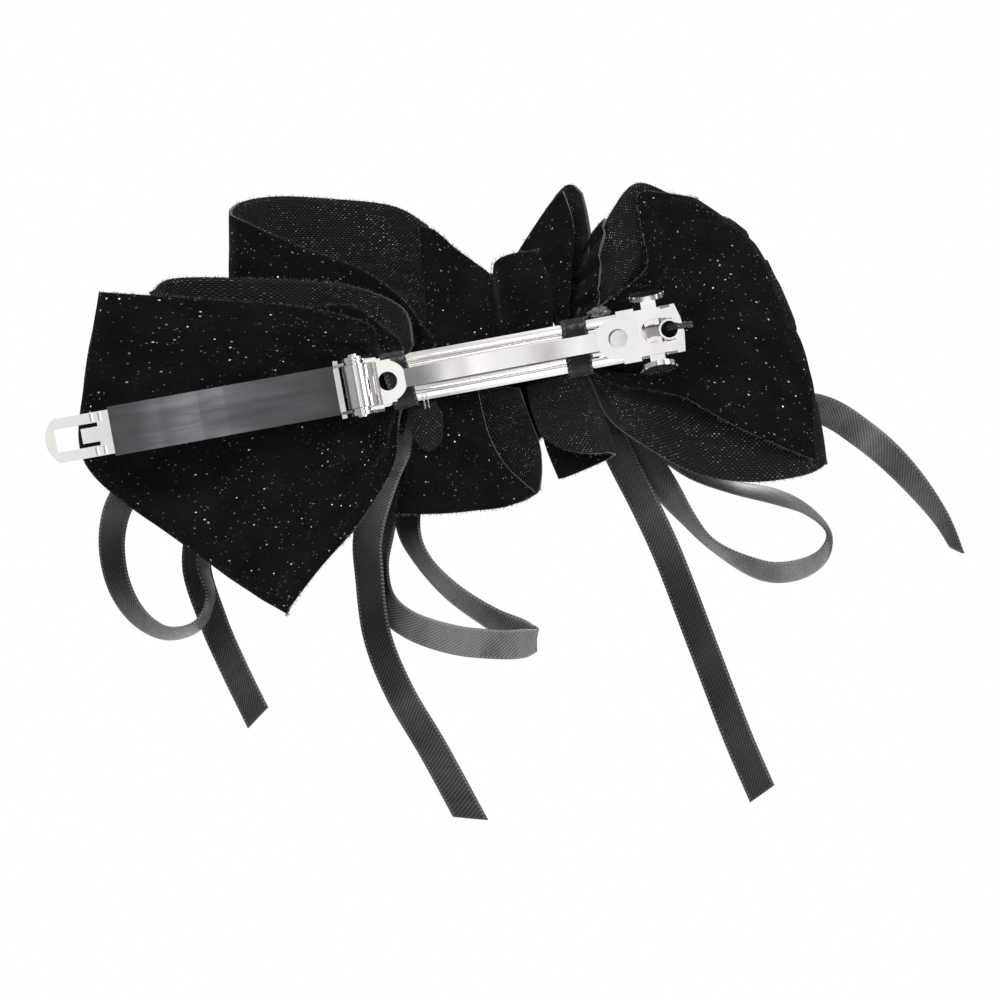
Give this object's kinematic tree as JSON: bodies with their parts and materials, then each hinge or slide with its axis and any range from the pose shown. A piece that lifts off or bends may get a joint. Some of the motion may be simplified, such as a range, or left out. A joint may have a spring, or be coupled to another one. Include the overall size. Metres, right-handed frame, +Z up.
{
  "type": "hair bow",
  "caption": "Black velvet hair bow with satin ribbon loops and tails on an open snap-shut barrette with a sleeved arm and squeeze buttons.",
  "frame": {"origin": "middle of the clip, on the line through its hinge and catch, where it holds the hair", "axes": "+X along the clip from hinge to catch, +Z up as worn, -Y towards the head"},
  "size_m": [0.1781, 0.0365, 0.1381],
  "materials": {
    "nickel": "bright nickel plate on pressed steel",
    "rubber_sleeve": "satin black rubber with scuffs",
    "black_velvet": "cut-pile velvet with silver glitter specks, knitted mesh back",
    "black_satin": "single-faced satin ribbon with a soft grey sheen",
    "black_thread": "twisted sewing thread",
    "clear_nylon": "clear nylon thread",
    "dark_glue": "hot-melt glue picked up from the black cloth"
  },
  "bodies": {
    "root": {"base_plate": "nickel", "hinge_pin": "nickel", "tension_strip": "nickel", "catch_frame": "nickel", "left_tie_band": "black_satin", "right_tie_band": "black_satin", "left_knot": "black_satin", "right_knot": "black_satin", "left_satin_loop": "black_satin", "left_satin_tail": "black_satin", "middle_satin_loop": "black_satin", "middle_satin_tail": "black_satin", "right_satin_tail": "black_satin", "right_satin_loop": "black_satin", "far_right_satin_tail": "black_satin", "left_velvet_wing": "black_velvet", "left_velvet_middle_loop": "black_velvet", "left_velvet_upper_loop": "black_velvet", "centre_velvet_crest": "black_velvet", "centre_velvet_ruffle": "black_velvet", "centre_velvet_puff": "black_velvet", "centre_velvet_panel": "black_velvet", "centre_velvet_flap": "black_velvet", "right_velvet_wing": "black_velvet", "right_velvet_upper_loop": "black_velvet", "end_thread": "black_thread", "nylon_stitches": "clear_nylon", "glue_beads": "dark_glue"},
    "arm": {"clasp_arm": "nickel", "arm_sleeve": "rubber_sleeve"},
    "upper_button": {"upper_squeeze_button": "nickel"},
    "lower_button": {"lower_squeeze_button": "nickel"}
  },
  "joints": [
    {"name": "arm_hinge", "type": "hinge", "parent": "root", "child": "arm", "pos_m": [-0.0318, -0.0034, 0], "axis": [0, 0, 1], "range_deg": [0, 174]},
    {"name": "upper_button_squeeze", "type": "slide", "parent": "root", "child": "upper_button", "axis": [0, 0, -1], "range_m": [0, 0.001], "stiffness_N_per_m": 800},
    {"name": "lower_button_squeeze", "type": "slide", "parent": "root", "child": "lower_button", "axis": [0, 0, 1], "range_m": [0, 0.001], "stiffness_N_per_m": 800}
  ]
}
